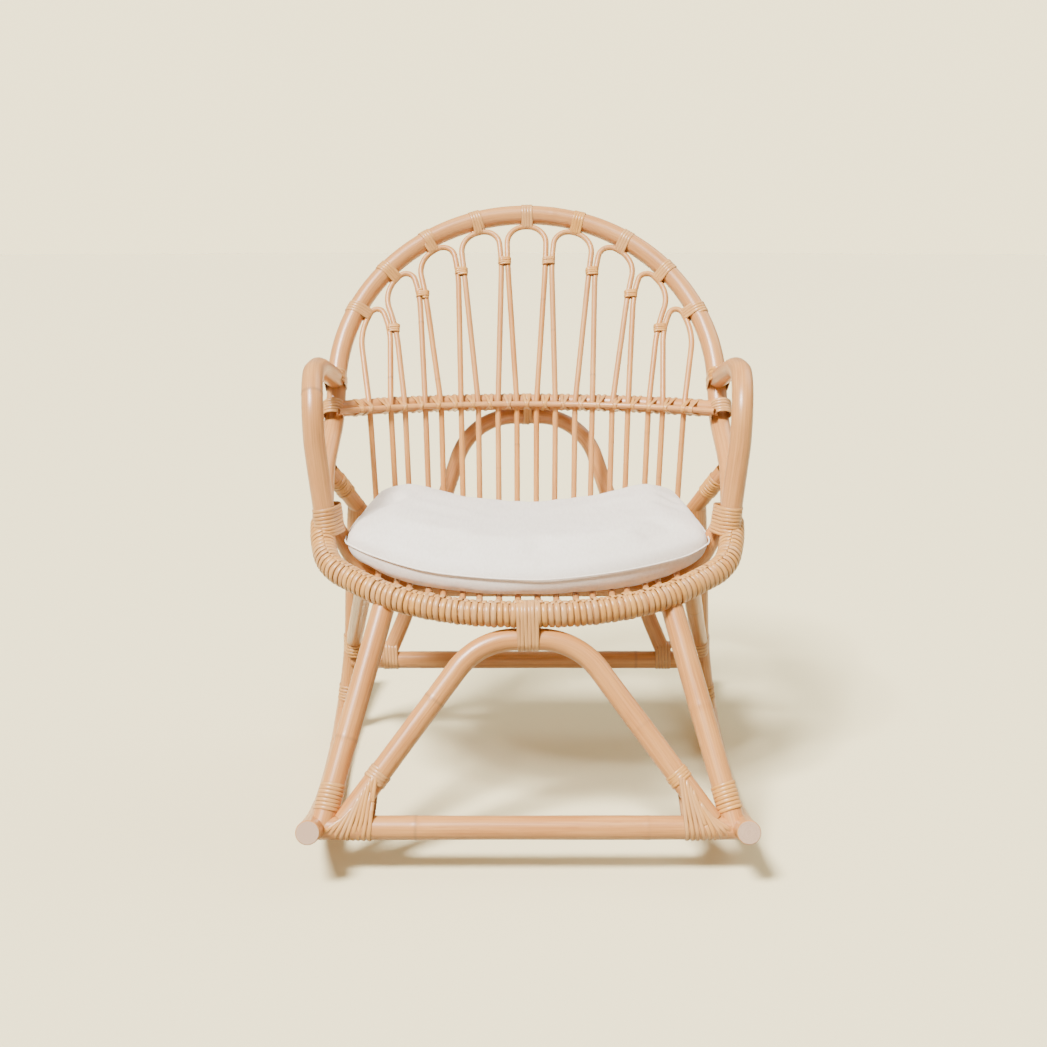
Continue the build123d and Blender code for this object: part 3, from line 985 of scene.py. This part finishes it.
def build_seam(cushion):
    """The sewn ridge round the cushion's edge."""
    steps = cushion_steps
    count = steps + 1
    loop = list(range(count))
    loop += [row * count + steps for row in range(1, count)]
    loop += [steps * count + column for column in range(steps - 1, -1, -1)]
    loop += [row * count for row in range(steps - 1, 0, -1)]
    points = [cushion.data.vertices[index].co / MM for index in loop]
    points.append(points[0].copy())
    builder = new_builder()
    add_pole(builder, points, 0.9, 2.0, 8, 5000)
    finish_piece("cushion_seam", builder, [cotton_finish], "cushion", [])


def build_soft():
    """The cushion and its seam."""
    cushion = build_cushion()
    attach(cushion, "cushion")
    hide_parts("seat_cushion")
    build_seam(cushion)


# ---- Stage, light and camera ----

# The backdrop glows as brightly as the lit floor, so that no horizon shows
floor_colour = (0.95, 0.84, 0.50)
backdrop_glow = (3.12, 2.70, 1.57)
sky_colour = (1.0, 0.92, 0.78)
sky_strength = 0.6
floor_size = 60
backdrop_radius = 28

# Suns: name, place in metres, softness in degrees, strength
suns = [("key", (-0.8, -1.2, 1.9), 14, 9.5), ("rim", (1.1, 0.6, 1.2), 40, 1.0)]

camera_place = (-0.006, -1.504, 0.592)
camera_dip = 11.7
camera_turn = -0.08
camera_lens = 50


def build_floor():
    """A plain pale floor and a backdrop of the same brightness."""
    bpy.ops.mesh.primitive_plane_add(size=floor_size, location=(0, 0, 0))
    floor = bpy.context.object
    floor.name = "floor"
    material, _, _, shader = new_material("pale_floor")
    shader.inputs["Base Color"].default_value = (*floor_colour, 1)
    shader.inputs["Roughness"].default_value = 0.95
    floor.data.materials.append(material)
    floor.visible_diffuse = False
    bpy.ops.mesh.primitive_cylinder_add(
        radius=backdrop_radius, depth=floor_size, end_fill_type="NOTHING", location=(0, 0, 0)
    )
    backdrop = bpy.context.object
    backdrop.name = "backdrop"
    material, _, _, shader = new_material("pale_backdrop")
    shader.inputs["Base Color"].default_value = (0, 0, 0, 1)
    shader.inputs["Roughness"].default_value = 1.0
    shader.inputs["Specular IOR Level"].default_value = 0.0
    shader.inputs["Emission Color"].default_value = (*backdrop_glow, 1)
    shader.inputs["Emission Strength"].default_value = 1.0
    backdrop.data.materials.append(material)
    backdrop.visible_shadow = False
    backdrop.visible_diffuse = False
    backdrop.visible_glossy = False


def build_light():
    """A pale sky and two soft suns."""
    scene = bpy.context.scene
    world = bpy.data.worlds.new("studio")
    world.use_nodes = True
    sky = world.node_tree.nodes["Background"]
    sky.inputs["Color"].default_value = (*sky_colour, 1)
    sky.inputs["Strength"].default_value = sky_strength
    scene.world = world
    for name, place, softness, power in suns:
        data = bpy.data.lights.new(name, "SUN")
        data.angle = math.radians(softness)
        data.energy = power
        lamp = bpy.data.objects.new(name, data)
        lamp.location = place
        lamp.rotation_euler = (-Vector(place)).to_track_quat("-Z", "Y").to_euler()
        scene.collection.objects.link(lamp)


def build_camera():
    """The camera, a little above the chair and in front of it."""
    scene = bpy.context.scene
    data = bpy.data.cameras.new("camera")
    data.lens = camera_lens
    data.sensor_width = 36
    camera = bpy.data.objects.new("camera", data)
    camera.location = camera_place
    camera.rotation_euler = (math.radians(90 - camera_dip), 0, math.radians(camera_turn))
    scene.collection.objects.link(camera)
    scene.camera = camera


build_runners_and_base()
build_rear()
build_seat()
build_canes()
build_rail_winding()
build_back_ties()
build_front_lashings()
build_arm_lashings()
build_rear_lashings()
build_soft()
build_floor()
build_light()
build_camera()
